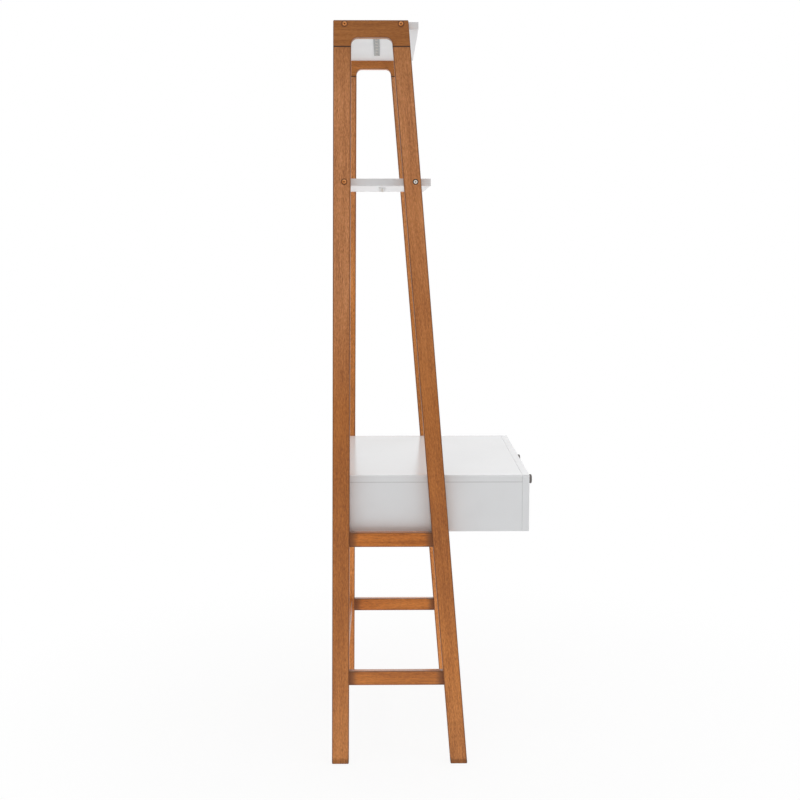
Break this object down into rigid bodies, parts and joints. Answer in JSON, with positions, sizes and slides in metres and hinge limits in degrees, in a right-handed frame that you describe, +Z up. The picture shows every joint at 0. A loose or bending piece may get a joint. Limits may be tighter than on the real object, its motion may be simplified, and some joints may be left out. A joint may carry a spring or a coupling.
{
  "type": "ladder desk",
  "caption": "Tall ladder desk: tapered wooden side frames with arched tops carry a white desk box with a wide knobbed drawer and open white shelves above it.",
  "frame": {"origin": "on the floor under the middle of the desk's bounding box", "axes": "+Z up, +X from the left side frame to the right one, +Y from the drawer front to the back"},
  "size_m": [0.713, 0.5376, 1.905],
  "materials": {
    "frame_wood": "satin stained",
    "white_lacquer": "semi-gloss white",
    "drawer_plywood": "matt clear",
    "dowel_wood": "bare",
    "grey_bar": "satin grey",
    "slide_steel": "zinc plated",
    "zinc": "zinc plated",
    "brass": "plain",
    "copper_finish": "copper toned",
    "knob_bronze": "dark bronze"
  },
  "bodies": {
    "frame": {"case_slide_screws": "zinc", "desk_back": "white_lacquer", "desk_bolts": "zinc", "desk_bottom": "white_lacquer", "desk_dowels": "dowel_wood", "desk_left_side": "white_lacquer", "desk_right_side": "white_lacquer", "desk_top": "white_lacquer", "left_desk_rail": "frame_wood", "left_foot_rail": "frame_wood", "left_frame_dowels": "dowel_wood", "left_front_leg": "frame_wood", "left_rear_leg": "frame_wood", "left_slide_case_channel": "slide_steel", "left_top_arch": "frame_wood", "leg_inserts": "brass", "middle_shelf": "white_lacquer", "middle_shelf_bar": "grey_bar", "plain_shelf_bolt": "zinc", "rear_stretcher": "frame_wood", "right_desk_rail": "frame_wood", "right_foot_rail": "frame_wood", "right_frame_dowels": "dowel_wood", "right_front_leg": "frame_wood", "right_rear_leg": "frame_wood", "right_slide_case_channel": "slide_steel", "right_top_arch": "frame_wood", "shelf_bar_screws": "zinc", "shelf_bolts": "copper_finish", "shelf_inserts": "brass", "stretcher_cam_bolts": "zinc", "stretcher_cams": "zinc", "stretcher_dowels": "dowel_wood", "top_shelf": "white_lacquer", "top_shelf_bar": "grey_bar"},
    "drawer": {"drawer_front": "white_lacquer", "drawer_inner_front": "drawer_plywood", "drawer_back": "drawer_plywood", "drawer_left_side": "drawer_plywood", "drawer_right_side": "drawer_plywood", "drawer_floor": "drawer_plywood", "drawer_dowels": "dowel_wood", "drawer_front_screws": "zinc", "knob_screws": "zinc", "left_knob": "knob_bronze", "right_knob": "knob_bronze", "left_slide_drawer_channel": "slide_steel", "right_slide_drawer_channel": "slide_steel", "drawer_slide_screws": "zinc"},
    "left_slide": {"left_slide_middle_channel": "slide_steel"},
    "right_slide": {"right_slide_middle_channel": "slide_steel"}
  },
  "joints": [
    {"name": "drawer_slide", "type": "slide", "parent": "frame", "child": "drawer", "axis": [0, -1, 0], "range_m": [0, 0.38]},
    {"name": "left_middle_slide", "type": "slide", "parent": "frame", "child": "left_slide", "axis": [0, -1, 0], "range_m": [0, 0.19]},
    {"name": "right_middle_slide", "type": "slide", "parent": "frame", "child": "right_slide", "axis": [0, -1, 0], "range_m": [0, 0.19]}
  ],
  "couplings": [
    {"joint": "left_middle_slide", "follows": "drawer_slide", "ratio": 0.5},
    {"joint": "right_middle_slide", "follows": "drawer_slide", "ratio": 0.5}
  ]
}
